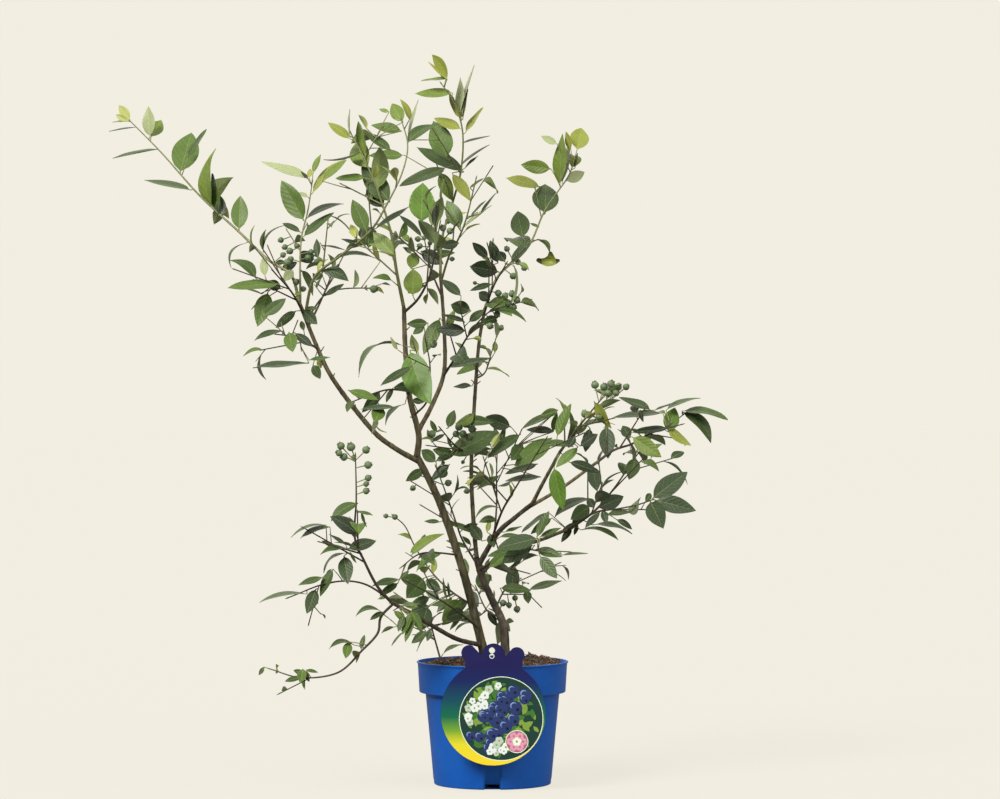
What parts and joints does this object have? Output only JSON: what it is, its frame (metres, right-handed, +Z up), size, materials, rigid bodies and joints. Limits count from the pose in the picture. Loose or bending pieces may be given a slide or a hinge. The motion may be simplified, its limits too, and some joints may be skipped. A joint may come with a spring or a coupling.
{
  "type": "potted blueberry bush",
  "caption": "Young blueberry bush with open leaning boughs, green unripe berries and a hook-on plant label, in a round nursery pot filled with compost.",
  "frame": {"origin": "centre of the pot's flat underside, on the surface the pot stands on", "axes": "+Z up; -Y towards the side with the plant label (the front); +X to the right seen from the front"},
  "size_m": [0.7813, 0.5071, 0.9239],
  "materials": {
    "pot": "satin injection-moulded polypropylene, mid blue",
    "compost": "moist dark brown peat and bark-fibre compost",
    "label": "printed plastic card, navy running to green and yellow",
    "bark": "smooth tan-grey to rough dark brown bark, green on young shoots",
    "foliage": "smooth leathery leaves, yellow-green at the tips to dark bluish green low down",
    "berries": "dull green unripe berries with a grey bloom"
  },
  "bodies": {
    "root": {"pot": "pot", "compost": "compost", "label": "label", "main_stem": "bark", "second_stem": "bark", "left_bough": "bark", "leader_bough": "bark", "centre_bough": "bark", "tall_cane": "bark", "right_bough": "bark", "right_upper_bough": "bark", "right_outer_bough": "bark", "lower_right_bough": "bark", "lower_left_bough": "bark", "foliage_left_tip": "foliage", "foliage_left_crown": "foliage", "foliage_left_crown_back": "foliage", "foliage_left_riser": "foliage", "foliage_left_cross": "foliage", "foliage_left_side_twig": "foliage", "foliage_left_low_leaves": "foliage", "foliage_leader_top": "foliage", "foliage_leader_right": "foliage", "foliage_leader_left_low": "foliage", "foliage_leader_front": "foliage", "foliage_top_shoot": "foliage", "foliage_centre_top_right": "foliage", "foliage_centre_berries": "foliage", "foliage_centre_right_berries": "foliage", "foliage_upper_right": "foliage", "foliage_upper_right_inner": "foliage", "foliage_cane_mid": "foliage", "foliage_centre_mid": "foliage", "foliage_centre_mid_right": "foliage", "foliage_right_inner": "foliage", "foliage_right_upper": "foliage", "foliage_far_right": "foliage", "foliage_right_rise": "foliage", "foliage_right_low": "foliage", "foliage_low_right_centre": "foliage", "foliage_low_back": "foliage", "foliage_low_right_berries": "foliage", "foliage_left_upright": "foliage", "foliage_left_trailing": "foliage", "foliage_left_drooping": "foliage", "foliage_left_inner": "foliage", "foliage_left_mid_twig": "foliage", "foliage_low_centre": "foliage", "foliage_compost_shoot": "foliage", "foliage_centre_inner": "foliage"}
  },
  "joints": []
}
